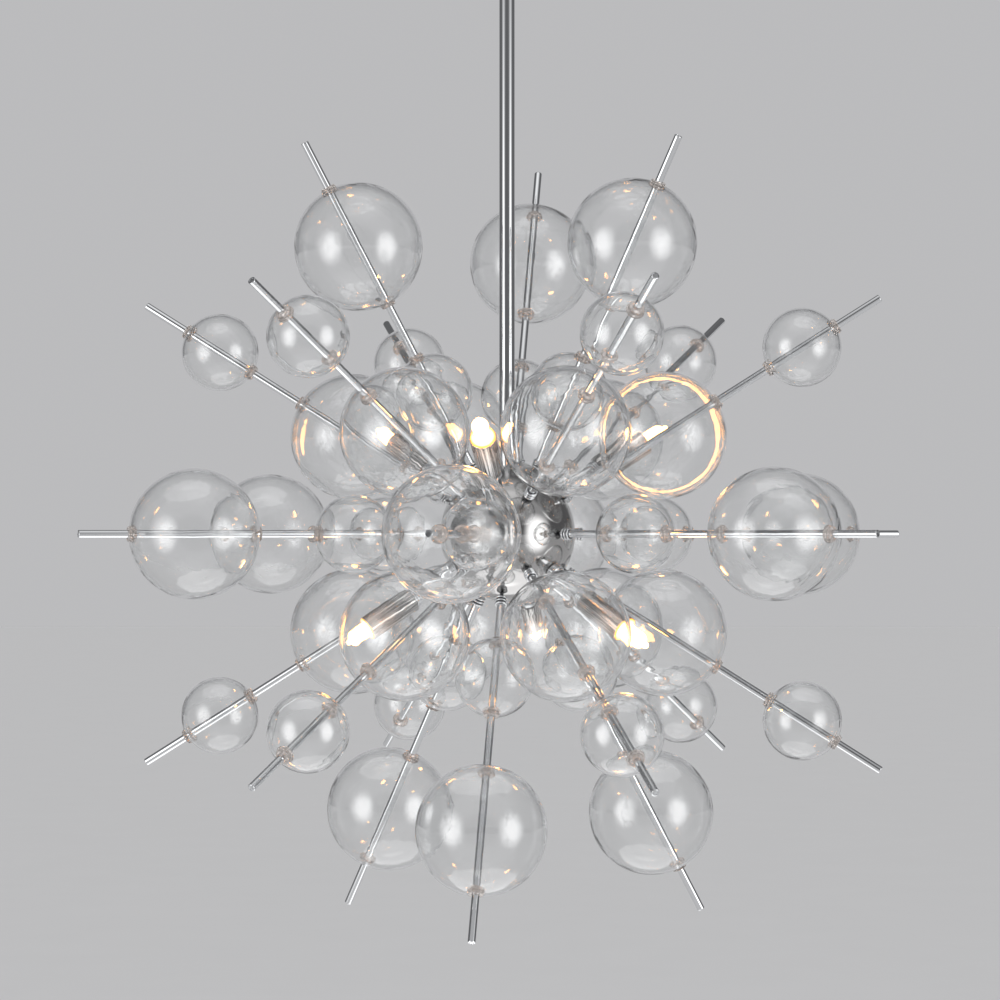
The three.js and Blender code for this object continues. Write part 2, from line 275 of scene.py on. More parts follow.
def revolve(profile, sides, centre, along, shut=False, swell=None):
    """A surface of revolution. Point (i, j) is centre + h_i along + r_i (cos a_j side + sin a_j up), where
    (r_i, h_i) is the profile's row i and a_j is j turns over sides. A swell makes r_i longer by the factor
    swell(r_i, a_j). shut joins the last row to the first. Returns points, quads and UVs of (turn, length)."""
    profile = np.asarray(profile, float)
    side, up = basis(along)
    angles = np.arange(sides) * math.tau / sides
    spokes = np.cos(angles)[:, None] * side + np.sin(angles)[:, None] * up
    radii = np.repeat(profile[:, :1], sides, axis=1)
    if swell is not None:
        radii = radii * swell(radii, angles)
    points = centre + profile[:, 1, None, None] * np.asarray(along, float) + radii[..., None] * spokes
    rows = len(profile)
    i = np.arange(rows if shut else rows - 1)[:, None]
    j = np.arange(sides)[None]
    above, beside = (i + 1) % rows, (j + 1) % sides
    quads = np.stack([i * sides + j, i * sides + beside, above * sides + beside, above * sides + j], -1)
    steps = np.linalg.norm(np.diff(profile, axis=0, append=profile[:1]), axis=1)
    travel = np.concatenate([[0.0], np.cumsum(steps)])
    turns = np.stack([j, j + 1, j + 1, j], -1) / sides + 0 * i[..., None]
    lengths = travel[np.stack([i, i, i + 1, i + 1], -1)] + 0 * j[..., None]
    uv = np.stack([turns, lengths], -1)
    return points.reshape(-1, 3), quads.reshape(-1, 4), uv.reshape(-1, 4, 2)


def arc(radius, start, end, rows, centre=0.0):
    """Profile rows of an arc: (radius cos a, centre + radius sin a), where a goes from start to end."""
    angles = np.linspace(start, end, rows)
    return np.stack([radius * np.cos(angles), centre + radius * np.sin(angles)], 1)


def rounded(profile, radius, shut=True, steps=3):
    """A profile whose corners are parabolas, (1 - t)^2 entry + 2 t (1 - t) corner + t^2 exit. Each one meets
    its corner's edges radius away from it, or at 0.45 of the edge where that is nearer. An open profile keeps
    its ends."""
    corners = np.asarray(profile, float)
    most_of_edge, tiny = 0.45, 1e-9

    def reach(edges):
        """Where a parabola meets each edge."""
        lengths = np.maximum(np.linalg.norm(edges, axis=1), tiny)
        return corners + edges * np.minimum(radius / lengths, most_of_edge)[:, None]

    t = np.linspace(0.0, 1.0, steps + 1)[None, :, None]
    entry = reach(np.roll(corners, 1, 0) - corners)[:, None]
    leave = reach(np.roll(corners, -1, 0) - corners)[:, None]
    curves = (1 - t) ** 2 * entry + 2 * t * (1 - t) * corners[:, None] + t**2 * leave
    if shut:
        return curves.reshape(-1, 2)
    return np.concatenate([corners[:1], curves[1:-1].reshape(-1, 2), corners[-1:]])


def ridges(low_radius, high_radius, start, end, count):
    """Profile rows of ridges along a cylinder, evenly spaced from start to end: each has a flat crest between
    two slopes, and a groove after it."""
    pitch = (end - start) / count
    shares = np.array([0.0, 0.12, 0.62, 0.74])
    radii = np.array([low_radius, high_radius, high_radius, low_radius])
    heights = start + pitch * (np.arange(count)[:, None] + shares[None])
    return np.stack([np.tile(radii, count), heights.reshape(-1)], 1)


def thread(low_radius, high_radius, start, end, pitch):
    """Profile rows of a screw thread: a zigzag between two radii, two rows to a pitch."""
    turns = max(2, round((end - start) / pitch))
    heights = np.linspace(start, end, 2 * turns + 1)
    radii = np.where(np.arange(2 * turns + 1) % 2, high_radius, low_radius)
    return np.stack([radii, heights], 1)


def hexagon(bore):
    """A swell that makes a hexagon of all rows wider than a bore. It is how far the edge lies from the middle
    in each direction, as a share of the distance to a flat, and ends at the turned-off corners."""
    sixth, corner = math.tau / 6, 1.125

    def swell(radii, angles):
        """One share for each row and angle."""
        edge = np.minimum(1.0 / np.cos((angles % sixth) - sixth / 2), corner)
        return np.where(radii > bore, edge[None], 1.0)

    return swell


def new_object(name, data):
    """An object in the scene."""
    made = bpy.data.objects.new(name, data)
    bpy.context.scene.collection.objects.link(made)
    return made


def close_poles(mesh):
    """Merges points that meet, so that each pole is one point, and drops the faces that this flattens."""
    meeting, flat = 1e-6, 1e-7
    work = bmesh.new()
    work.from_mesh(mesh)
    bmesh.ops.remove_doubles(work, verts=work.verts, dist=meeting)
    bmesh.ops.dissolve_degenerate(work, edges=work.edges, dist=flat)
    work.to_mesh(mesh)
    work.free()


def piece(name, body, surfaces, sharp=40.0, weld=False):
    """A mesh object from surfaces, each (finish, (points, quads, uv)). It rides on a body. Edges of more than
    sharp degrees stay crisp. weld merges points that meet, which closes poles."""
    looks = list(dict.fromkeys(look for look, _ in surfaces))
    points, quads, uvs = zip(*(surface for _, surface in surfaces))
    firsts = np.cumsum([0] + [len(part) for part in points])
    places = np.concatenate(points).astype(np.float32)
    corners = np.concatenate([part + first for part, first in zip(quads, firsts)]).astype(np.int32)
    numbers = np.repeat([looks.index(look) for look, _ in surfaces], [len(part) for part in quads])
    mesh = bpy.data.meshes.new(name)
    mesh.vertices.add(len(places))
    mesh.vertices.foreach_set("co", places.ravel())
    mesh.loops.add(corners.size)
    mesh.loops.foreach_set("vertex_index", corners.ravel())
    mesh.polygons.add(len(corners))
    mesh.polygons.foreach_set("loop_start", np.arange(len(corners), dtype=np.int32) * 4)
    mesh.polygons.foreach_set("material_index", numbers.astype(np.int32))
    mesh.polygons.foreach_set("use_smooth", np.ones(len(corners), bool))
    layer = mesh.uv_layers.new(name="Along")
    layer.data.foreach_set("uv", np.concatenate(uvs).astype(np.float32).ravel())
    for look in looks:
        mesh.materials.append(finish(look))
    mesh.update(calc_edges=True)
    if weld:
        close_poles(mesh)
    mesh.validate()
    mesh.set_sharp_from_angle(angle=math.radians(sharp))
    made = new_object(name, mesh)
    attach(made, body)
    return made


# Node helpers


def fill(tree, socket, value):
    """Links another node's socket to an input, or gives the input a value. A colour has no alpha."""
    if isinstance(value, bpy.types.NodeSocket):
        tree.links.new(socket, value)
    else:
        socket.default_value = (*value, 1.0) if socket.type == "RGBA" else value


def node(tree, kind, *inputs, **named):
    """A shader node. Values fill its inputs in order, or by name with _ for a space, and set its properties
    where the name is a property's."""
    made = tree.nodes.new("ShaderNode" + kind)
    for name, value in named.items():
        if hasattr(made, name):
            setattr(made, name, value)
        else:
            fill(tree, made.inputs[name.replace("_", " ")], value)
    for socket, value in zip(made.inputs, inputs):
        fill(tree, socket, value)
    return made


def maths(tree, operation, *values):
    """A Math node's result."""
    return node(tree, "Math", *values, operation=operation).outputs["Value"]


def vectors(tree, operation, *values):
    """A Vector Math node's outputs."""
    return node(tree, "VectorMath", *values, operation=operation).outputs


def noise(tree, where, scale, detail, twist=0.0):
    """Smooth noise from 0 to 1, bent into swirls by twist."""
    return node(tree, "TexNoise", Vector=where, Scale=scale, Detail=detail, Distortion=twist).outputs["Fac"]


def spread(tree, value, low, high, to_low=0.0, to_high=1.0, smooth=False):
    """Carries a value from one range to another and holds it at both ends."""
    curve = "SMOOTHSTEP" if smooth else "LINEAR"
    made = node(tree, "MapRange", value, low, high, to_low, to_high, interpolation_type=curve)
    return made.outputs["Result"]


def mixed(tree, share, first, second):
    """A colour that changes from a first one to a second one."""
    made = node(tree, "Mix", share, data_type="RGBA")
    fill(tree, made.inputs[FIRST_COLOUR], first)
    fill(tree, made.inputs[SECOND_COLOUR], second)
    return made.outputs[MIXED_COLOUR]


def blended(tree, share, first, second):
    """A shader node that changes from a first shader to a second one."""
    return node(tree, "MixShader", share, first.outputs[0], second.outputs[0])


def coordinate(tree, name):
    """One of the Texture Coordinate node's outputs."""
    return node(tree, "TexCoord").outputs[name]


def axis_of(tree, vector, axis):
    """A vector's X, Y or Z."""
    return node(tree, "SeparateXYZ", vector).outputs[axis]


def bumped(tree, height, strength, depth):
    """A normal that tilts as a height changes."""
    return node(tree, "Bump", Strength=strength, Distance=depth, Height=height).outputs["Normal"]


def reflected(tree, rays):
    """1 on a ray that has been reflected and 0 on the others, from the Light Path node's outputs."""
    return maths(tree, "GREATER_THAN", rays["Glossy Depth"], 0.5)


def principled(tree, base, roughness, **others):
    """A Principled shader."""
    return node(tree, "BsdfPrincipled", Base_Color=base, Roughness=roughness, **others)


# Shared effects


def new_group(name, inputs, outputs):
    """A shader node group with a vector input, number inputs given as {name: default} and named outputs."""
    group = bpy.data.node_groups.new(name, "ShaderNodeTree")
    group.interface.new_socket("Vector", in_out="INPUT", socket_type="NodeSocketVector")
    for title, value in inputs.items():
        socket = group.interface.new_socket(title, in_out="INPUT", socket_type="NodeSocketFloat")
        socket.default_value = value
    for title in outputs:
        group.interface.new_socket(title, in_out="OUTPUT", socket_type="NodeSocketFloat")
    return group, group.nodes.new("NodeGroupInput").outputs, group.nodes.new("NodeGroupOutput").inputs


def polish_group():
    """Polishing and handling marks: Roughness is the base value, raised by up to Smear in soft clouds. Height
    is a much finer grain."""
    if "Polish marks" in bpy.data.node_groups:
        return bpy.data.node_groups["Polish marks"]
    inputs = {"Roughness": 0.05, "Smear": 0.06, "Scale": 30.0}
    group, given, out = new_group("Polish marks", inputs, ("Roughness", "Height"))
    where, scale, finer = given["Vector"], given["Scale"], 24.0
    cloud = spread(group, noise(group, where, scale, 4.0), 0.45, 0.75)
    smear = maths(group, "MULTIPLY", cloud, given["Smear"])
    fill(group, out["Roughness"], maths(group, "ADD", smear, given["Roughness"]))
    fill(group, out["Height"], noise(group, where, maths(group, "MULTIPLY", scale, finer), 2.0))
    return group


def ripple_group():
    """Waves in blown glass: Height is slow noise that Twist bends into swirls."""
    if "Ripple" in bpy.data.node_groups:
        return bpy.data.node_groups["Ripple"]
    group, given, out = new_group("Ripple", {"Scale": 20.0, "Twist": 0.6}, ("Height",))
    fill(group, out["Height"], noise(group, given["Vector"], given["Scale"], 2.0, given["Twist"]))
    return group


def effect(tree, group, **values):
    """The outputs of a shared effect on Object coordinates."""
    return node(tree, "Group", node_tree=group, Vector=coordinate(tree, "Object"), **values).outputs


# Finishes


def new_material(name):
    """An empty material and its node tree."""
    material = bpy.data.materials.new(name)
    material.use_nodes = True
    material.node_tree.nodes.clear()
    return material, material.node_tree


def done(material, shader):
    """Ends a material with its output node."""
    node(material.node_tree, "OutputMaterial", shader.outputs[0])
    return material


def polished(name, rgb, roughness, smear, scale, grain=0.0):
    """Polished metal with smears in its gloss and, where grain gives a depth, a fine grain in its surface."""
    material, tree = new_material(name)
    marks = effect(tree, polish_group(), Roughness=roughness, Smear=smear, Scale=scale)
    metal = principled(tree, rgb, marks["Roughness"], Metallic=1.0)
    if grain:
        fill(tree, metal.inputs["Normal"], bumped(tree, marks["Height"], 0.35, grain))
    return done(material, metal)


def streaked(name, rgb, warm, roughness, warm_from, warm_to):
    """Drawn metal tube: its gloss runs in fine drawing lines along the tube and its colour in dark lines of
    painted reflection, and it turns warm with painted bulb light between two lengths along its profile, near
    the lit end. Both follow the surface's own UV map."""
    material, tree = new_material(name)
    where = coordinate(tree, "UV")
    # painted_streak_share sets how dark the painted reflection streaks in the colour are
    round_and_along, painted_streak_share, warmest = (46.0, 9.0, 1.0), 0.13, 0.6
    lines = noise(tree, node(tree, "Mapping", where, Scale=round_and_along).outputs["Vector"], 1.0, 4.0)
    gloss = spread(tree, lines, 0.3, 0.7, roughness * 0.5, roughness * 1.8)
    # Painted reflection: the dark lines in the colour stand in for a polished tube's streaked reflections;
    # the same lines in the gloss are drawing marks
    shade = mixed(tree, spread(tree, lines, 0.42, 0.58), [painted_streak_share * c for c in rgb], rgb)
    # Painted bulb light: the colour turns warm near the sleeve's mouth, where the bulb shines
    painted_glow_share = spread(tree, axis_of(tree, where, "Y"), warm_from, warm_to, to_high=warmest, smooth=True)
    return done(material, principled(tree, mixed(tree, painted_glow_share, shade, warm), gloss, Metallic=1.0))


def see_through(name, face, rim, refraction, ripple_scale, ripple_depth):
    """Clear glass. It is tinted where the wall is seen along its length, its surface has slow ripples, and
    light that falls on what is behind it passes straight through."""
    material, tree = new_material(name)
    waves = bumped(tree, effect(tree, ripple_group(), Scale=ripple_scale)["Height"], 1.0, ripple_depth)
    edge, narrowness = node(tree, "LayerWeight", Blend=0.5).outputs["Facing"], 4.5
    tint = mixed(tree, maths(tree, "POWER", edge, narrowness), face, rim)
    glass = principled(tree, tint, 0.0, IOR=refraction, Transmission_Weight=1.0, Normal=waves)
    rays = node(tree, "LightPath").outputs
    passing = maths(tree, "MAXIMUM", rays["Is Shadow Ray"], rays["Is Diffuse Ray"])
    clear = node(tree, "BsdfTransparent", Color=(0.94, 0.94, 0.94))
    return done(material, blended(tree, passing, glass, clear))


def soft_plastic(name, rgb):
    """Soft clear plastic with a faint cloud in it: most of the light goes through it."""
    material, tree = new_material(name)
    cloud, darkest = noise(tree, coordinate(tree, "Object"), 260.0, 3.0), 0.9
    shade = mixed(tree, cloud, [darkest * c for c in rgb], rgb)
    return done(material, principled(tree, shade, 0.08, IOR=1.46, Transmission_Weight=0.76))


def lit_bulb(name, centre, edge, strength):
    """A lit bulb: brightest and palest where it is seen square on, amber at its edge."""
    material, tree = new_material(name)
    share = spread(tree, node(tree, "LayerWeight", Blend=0.5).outputs["Facing"], 0.6, 0.84, smooth=True)
    hue, base = mixed(tree, share, centre, edge), (0.45, 0.26, 0.10)
    return done(material, principled(tree, base, 0.2, Emission_Color=hue, Emission_Strength=strength))


def painted_glow_ring(name, centre, edge, amber_to, pale_from):
    """A ring that glows with painted light in place of the bulb's light falling on it: amber up to one length
    along its profile and pale from another, by its own UV map.
    """
    material, tree = new_material(name)
    share = spread(tree, axis_of(tree, coordinate(tree, "UV"), "Y"), amber_to, pale_from, smooth=True)
    hue, base = mixed(tree, share, edge, centre), (0.62, 0.42, 0.16)
    return done(material, principled(tree, base, 0.3, Emission_Color=hue, Emission_Strength=1.6))


# Finishes that are made, by name
_made = {}


def finish(name):
    """One of the object's finishes, made when it is first asked for."""
    if name not in _made:
        globes, lamps = settings("globes", "lamps")
        # warm and the span after it paint the bulb's light on the sleeve near its mouth
        warm, painted_glow_span = (0.95, 0.74, 0.62), (26 * MM, 66 * MM)
        makers = {
            "chrome": (polished, "Polished chrome", (0.72, 0.73, 0.74), 0.035, 0.05, 26.0),
            "black": (polished, "Blackened steel", (0.10, 0.10, 0.11), 0.25, 0.15, 60.0, 0.02 * MM),
            "steel": (polished, "Zinc-plated steel", (0.60, 0.61, 0.62), 0.32, 0.2, 60.0, 0.04 * MM),
            "brass": (polished, "Turned brass", (0.80, 0.62, 0.30), 0.2, 0.12, 50.0, 0.02 * MM),
            "ball": (polished, "Satin-polished ball", (0.47, 0.465, 0.46), 0.07, 0.07, 18.0),
            "drawn": (streaked, "Drawn chrome tube", (0.70, 0.68, 0.66), warm, 0.12, *painted_glow_span),
            "glass": (see_through, "Blown glass", globes.face_tint, globes.rim_tint, 1.5, 22.0, 0.7 * MM),
            "grommet": (soft_plastic, "Clear grommet", globes.grommet_tint),
            "bulb": (lit_bulb, "Lit bulb", lamps.glow, lamps.edge_glow, lamps.strength),
            # The mouth ring's glow is painted bulb light
            "mouth": (painted_glow_ring, "Lit lamp mouth", lamps.mouth_painted_glow, lamps.mouth_painted_edge, 13.6 * MM, 15.6 * MM),
        }
        maker, *values = makers[name]
        _made[name] = maker(*values)
    return _made[name]


# Pieces


class CHANDELIER_OT_hub(bpy.types.Operator):
    """Makes the polished ball"""

    bl_idname = "chandelier.hub"
    bl_label = "Ball"

    def execute(self, context):
        arms, hanging = settings("arms", "hanging")
        wall, stem_gap = 6 * MM, 0.4 * MM
        radius, inner_radius = arms.hub_radius, arms.hub_radius - wall
        bore = hanging.stem_radius + stem_gap
        outer = arc(radius, -math.pi / 2, math.acos(bore / radius), 72)
        inner = arc(inner_radius, math.acos(bore / inner_radius), -math.pi / 2, 24)
        outer[0, 0] = inner[-1, 0] = 0.0
        shell = revolve(np.concatenate([outer, inner]), 112, hub_centre(arms), UP)
        ball = piece("ball", PENDANT, [("ball", shell)], weld=True)
        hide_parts("hub_ball")
        return {"FINISHED"}


class CHANDELIER_OT_rods(bpy.types.Operator):
    """Makes the polished rods, each a tube with a plug in its end"""

    bl_idname = "chandelier.rods"
    bl_label = "Rods"

    def execute(self, context):
        arms, globes = settings("arms", "globes")
        radius, rows, into_ferrule = arms.rod_radius, 10, 0.6
        start = arms.hub_radius + arms.stud_shown + into_ferrule * arms.ferrule_length
        for label, along, small_inside in rods_of(arms):
            tip = stations(arms, globes, small_inside)[2]
            wall = np.stack([np.full(rows, radius), np.linspace(start, tip - MM, rows)], 1)
            end = np.stack([END_RADII * radius, tip - END_DEPTHS * MM], 1)
            tube = revolve(np.concatenate([[(0.0, start)], wall, end]), 32, hub_centre(arms), along)
            rod = piece(f"chrome_rod_{label}", PENDANT, [("chrome", tube)], weld=True)
            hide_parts(f"rod_{label}")
        return {"FINISHED"}


class CHANDELIER_OT_ferrules(bpy.types.Operator):
    """Makes the threaded stud and the ringed ferrule of each rod"""

    bl_idname = "chandelier.ferrules"
    bl_label = "Ferrules"

    def execute(self, context):
        arms = context.scene.chandelier_arms
        centre, length, stud_radius = hub_centre(arms), arms.ferrule_length, arms.stud_radius
        stud_start, stud_end = 65 * MM, arms.hub_radius + arms.stud_shown
        thread_depth, thread_pitch, chamfer, lip, rounding = 0.4 * MM, 0.9 * MM, 0.3 * MM, 0.2 * MM, 0.2 * MM
        outer, bore, seat = arms.ferrule_radius, arms.rod_radius + ROOM, stud_end + 0.55 * length
        bead = length / 8.0
        core = outer - 1.6 * bead
        washer = [(0.0, stud_end), (core - chamfer, stud_end), (core, stud_end + chamfer)]
        rim = stud_end + length - lip
        cap = [(core, stud_end + chamfer), (core, rim), (bore, rim), (bore, seat), (0.0, seat)]
        cap = rounded(cap, rounding, shut=False, steps=2)
        threads = thread(stud_radius - thread_depth, stud_radius, stud_start, stud_end + MM, thread_pitch)
        stud = np.concatenate([[(0.0, stud_start)], threads, [(0.0, stud_end + MM)]])
        circle = arc(bead, 0.0, math.tau, 11)[:-1] + (outer - bead, 0.0)
        heights = stud_end + bead * np.array([1.0, 4.0, 7.0])
        for label, along, _ in rods_of(arms):
            places = [centre + height * along for height in heights]
            rings = [("chrome", revolve(circle, 28, place, along, shut=True)) for place in places]
            body = [
                ("chrome", revolve(washer, 28, centre, along)),
                ("black", revolve(cap, 28, centre, along)),
                ("black", revolve(stud, 16, centre, along)),
            ]
            fitting = piece(f"ferrule_{label}", PENDANT, rings + body, weld=True)
        return {"FINISHED"}


def globe_surface(radius, wall, hole, centre, along):
    """An open blown globe: an outer and an inner sphere, joined by a lip round the hole in each pole."""
    outer_end = math.acos(hole / radius)
    inner_end = math.acos(hole / (radius - wall))
    outer = arc(radius, -outer_end, outer_end, 40)
    inner = arc(radius - wall, inner_end, -inner_end, 36)
    return revolve(np.concatenate([outer, inner]), 64, centre, along, shut=True)


class CHANDELIER_OT_globes(bpy.types.Operator):
    """Makes the large and small globes"""

    bl_idname = "chandelier.globes"
    bl_label = "Globes"

    def execute(self, context):
        arms, globes = settings("arms", "globes")
        for label, along, small_inside in rods_of(arms):
            for kind, radius, centre in globes_on(arms, globes, along, small_inside):
                shell = globe_surface(radius, globes.wall, globes.hole_radius, centre, along)
                globe = piece(f"{kind}_glass_{label}", PENDANT, [("glass", shell)])
                if kind == "large":
                    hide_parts(f"large_globe_{label}")
        return {"FINISHED"}


def grommet_profile(radius, arms, globes):
    """A bush on the rod, from a globe's centre outwards: a flange inside the glass, a waist in its hole, a
    flange outside with the glass gripped between the two, and a smaller bead on that."""
    inside, bore = radius - globes.wall, arms.rod_radius + ROOM
    inner, outer, height = globes.inner_flange_radius, globes.flange_radius, globes.flange_height
    waist, groove, bead = globes.hole_radius - 0.15 * MM, 0.6 * MM, outer - 0.7 * MM
    thickness, bevel, grip, rounding = 2.6 * MM, 1.2 * MM, 0.1 * MM, 0.7 * MM
    lower, upper = math.sqrt(inside**2 - inner**2), math.sqrt(radius**2 - outer**2)
    corners = [
        (bore, lower - thickness),
        (inner - bevel, lower - thickness),
        (inner, lower - bevel),
        (inner, lower),
        (waist, lower + 3 * grip),
        (waist, upper + grip),
        (outer, upper + grip),
        (outer, radius + 0.4 * height),
        (waist + groove, radius + 0.5 * height),
        (bead, radius + 0.6 * height),
        (bead, radius + height),
        (bore, radius + height),
    ]
    return rounded(corners, rounding, steps=2)


class CHANDELIER_OT_grommets(bpy.types.Operator):
    """Makes the grommets in the poles of the globes"""

    bl_idname = "chandelier.grommets"
    bl_label = "Grommets"

    def execute(self, context):
        arms, globes = settings("arms", "globes")
        for label, along, small_inside in rods_of(arms):
            bushes = []
            for _, radius, centre in globes_on(arms, globes, along, small_inside):
                profile = grommet_profile(radius, arms, globes)
                for end in (1, -1):
                    bushes.append(("grommet", revolve(profile, 24, centre, end * along, shut=True)))
            piece(f"grommets_{label}", PENDANT, bushes)
        return {"FINISHED"}


def lamp_stalk(arms, lamps):
    """Profile of a lamp's metal behind its sleeve: nipple, ribbed base, neck and ribbed collar."""
    base, neck, collar = lamps.base_radius, lamps.neck_radius, lamps.collar_radius
    nipple, inner_end, gap, step = 4 * MM, 64 * MM, 0.3 * MM, 0.2 * MM
    base_groove, collar_groove, shoulder = base - 0.8 * MM, collar - 1.4 * MM, collar - 2 * MM
    root = arms.hub_radius + gap
    base_end, start, end = root + 8 * MM, lamps.collar_start, lamps.sleeve_start
    rows = [
        [(0.0, inner_end), (nipple, inner_end), (nipple, root), (base_groove, root)],
        ridges(base_groove, base, root + gap, base_end, 4),
        [(neck, base_end + 2 * step), (neck, start)],
        ridges(collar_groove, collar, start + step, end, 3),
        [(shoulder, end + step), (0.0, end + step)],
    ]
    return rounded(np.concatenate(rows), 0.3 * MM, shut=False, steps=2)


def bulb_profile(lamps):
    """Profile of a capsule bulb from inside the sleeve: a cylinder, a dome and a drawn-out tip."""
    radius, tip_radius = lamps.bulb_radius, lamps.tip_radius
    start, tip = lamps.mouth_at - 9 * MM, lamps.mouth_at + lamps.bulb_shown
    shoulder, dome_end = tip - 13 * MM, math.radians(60)
    rows = [
        [(0.0, start), (radius, start)],
        arc(radius, 0.0, dome_end, 9, shoulder),
        [(tip_radius + 0.4 * MM, tip - 5 * MM), (tip_radius, tip - 4 * MM)],
        arc(tip_radius, 0.0, math.pi / 2, 6, tip - tip_radius),
    ]
    rows[-1][-1, 0] = 0.0
    return np.concatenate(rows)


class CHANDELIER_OT_lamps(bpy.types.Operator):
    """Makes the lamps with their bulbs"""

    bl_idname = "chandelier.lamps"
    bl_label = "Lamps"

    def execute(self, context):
        arms, lamps = settings("arms", "lamps")
        centre, sleeve = hub_centre(arms), lamps.sleeve_radius
        start, mouth = lamps.sleeve_start, lamps.mouth_at
        bore, well = sleeve - 1.1 * MM, mouth - 10 * MM
        tube = [(0.0, start), (sleeve, start), (sleeve, mouth), (bore, mouth), (bore, well), (0.0, well)]
        tube = rounded(tube, 1.4 * MM, shut=False, steps=4)
        inner, outer, lip = lamps.bulb_radius + 0.5 * MM, bore - 0.2 * MM, mouth + 0.6 * MM
        ring = rounded([(inner, well), (outer, well), (outer, lip), (inner, lip)], 0.5 * MM)
        stalk, bulb = lamp_stalk(arms, lamps), bulb_profile(lamps)
        for label, along in lamps_of(arms):
            back, front = revolve(stalk, 36, centre, along), revolve(tube, 48, centre, along)
            holder = piece(f"lamp_holder_{label}", PENDANT, [("chrome", back), ("drawn", front)], weld=True)
            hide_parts(f"lamp_{label}")
            piece(f"lamp_mouth_{label}", PENDANT, [("mouth", revolve(ring, 36, centre, along, shut=True))])
            piece(f"bulb_{label}", PENDANT, [("bulb", revolve(bulb, 32, centre, along))], weld=True)
        return {"FINISHED"}


class CHANDELIER_OT_stem(bpy.types.Operator):
    """Makes the stem with its lock ring, and its nut"""

    bl_idname = "chandelier.stem"
    bl_label = "Stem"

    def execute(self, context):
        arms, hanging = settings("arms", "hanging")
        outer, bore = hanging.stem_radius, hanging.stem_radius - hanging.stem_wall
        top = arms.drop - hanging.pivot_depth + hanging.stem_above
        ring, low, high = outer + 4 * MM, 58.3 * MM, 62.1 * MM
        tube = [(bore, low), (ring, low), (ring, high), (outer, high), (outer, top), (bore, top)]
        tube = revolve(rounded(tube, 0.4 * MM), 64, hub_centre(arms), UP, shut=True)
        stem = piece("stem_tube", PENDANT, [("chrome", tube)])
        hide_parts("stem")
        seat = np.array([0.0, 0.0, hanging.swivel_top + 0.3 * MM - hanging.pivot_depth])
        hole, flat, height = outer + 0.4 * MM, hanging.nut_radius, 6 * MM
        profile = rounded([(hole, 0), (flat, 0), (flat, height), (hole, height)], 0.5 * MM)
        hexagonal = revolve(profile, 72, seat, UP, shut=True, swell=hexagon(hole + MM))
        nut = piece("brass_nut", PENDANT, [("brass", hexagonal)], sharp=25.0)
        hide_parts("stem_nut")
        return {"FINISHED"}


class CHANDELIER_OT_swivel(bpy.types.Operator):
    """Makes the swivel ball"""

    bl_idname = "chandelier.swivel"
    bl_label = "Swivel ball"

    def execute(self, context):
        hanging = context.scene.chandelier_hanging
        radius, bore = hanging.swivel_radius, hanging.stem_radius + 0.6 * MM
        top, bottom = hanging.swivel_top, -hanging.swivel_bottom
        side = arc(radius, math.asin(bottom / radius), math.asin(top / radius), 24)
        profile = np.concatenate([[(bore, bottom)], side, [(bore, top)]])
        centre = np.array([0.0, 0.0, -hanging.pivot_depth])
        ball = piece("brass_ball", SWIVEL, [("brass", revolve(profile, 72, centre, UP, shut=True))])
        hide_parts("swivel_ball")
        return {"FINISHED"}


class CHANDELIER_OT_canopy(bpy.types.Operator):
    """Makes the canopy"""

    bl_idname = "chandelier.canopy"
    bl_label = "Canopy"

    def execute(self, context):
        hanging = context.scene.chandelier_hanging
        wall, height, rim = hanging.canopy_wall, hanging.canopy_height, hanging.canopy_radius
        bevel, turn_gap, fillet, seam = 4 * MM, 0.6 * MM, 1.4 * MM, math.radians(-3)
        seat, pivot, hole = hanging.swivel_radius + turn_gap, hanging.pivot_depth, hanging.canopy_hole
        cup = seat + wall
        inset = bevel + wall * math.tan(math.pi / 8)
        skirt = [
            (cup, -height - fillet),
            (cup, -height),
            (rim - bevel, -height),
            (rim, bevel - height),
            (rim, 0.0),
            (rim - wall, 0.0),
            (rim - wall, inset - height),
            (rim - inset, wall - height),
            (seat, wall - height),
            (seat, -height - fillet),
        ]
        skirt = rounded(skirt, fillet, shut=False, steps=4)[1:-1]
        outer = arc(cup, -math.acos(hole / cup), seam, 20, -pivot)
        inner = arc(seat, seam, -math.acos(hole / seat), 20, -pivot)
        shell = revolve(np.concatenate([outer, skirt, inner]), 112, np.zeros(3), UP, shut=True)
        cover = piece("canopy_cover", MOUNT, [("chrome", shell)])
        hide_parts("canopy")
        return {"FINISHED"}


class CHANDELIER_OT_bracket(bpy.types.Operator):
    """Finishes the ceiling bracket and makes a domed nut over each of its cap nuts"""

    bl_idname = "chandelier.bracket"
    bl_label = "Bracket"

    def execute(self, context):
        hanging = context.scene.chandelier_hanging
        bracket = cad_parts["ceiling_bracket"]
        bracket.data.materials.clear()
        bracket.data.materials.append(finish("steel"))
        top = -hanging.canopy_height - 0.2 * MM
        low, flat, dome_radius, flattening = top - 5 * MM, 4.6 * MM, 4.4 * MM, 0.74
        washer = rounded([(0.0, low), (flat, low), (flat, top), (0.0, top)], 0.4 * MM, shut=False)
        dome = arc(dome_radius, -math.pi / 2, 0.0, 14)
        dome[:, 1] = low + 0.1 * MM + dome[:, 1] * flattening
        dome[0, 0] = 0.0
        for side, name in ((-1, "left"), (1, "right")):
            centre = np.array([side * hanging.stud_spread, 0.0, 0.0])
            body = revolve(washer, 72, centre, UP, swell=hexagon(0.4 * flat))
            surfaces = [("chrome", body), ("chrome", revolve(dome, 48, centre, UP))]
            nut = piece(f"domed_nut_{name}", MOUNT, surfaces, sharp=25.0, weld=True)
        return {"FINISHED"}


# Stage


def aimed(name, data, place, target):
    """An object at a place that looks at a target."""
    made = new_object(name, data)
    made.location = place
    made.rotation_euler = (target - place).to_track_quat("-Z", "Y").to_euler()
    return made


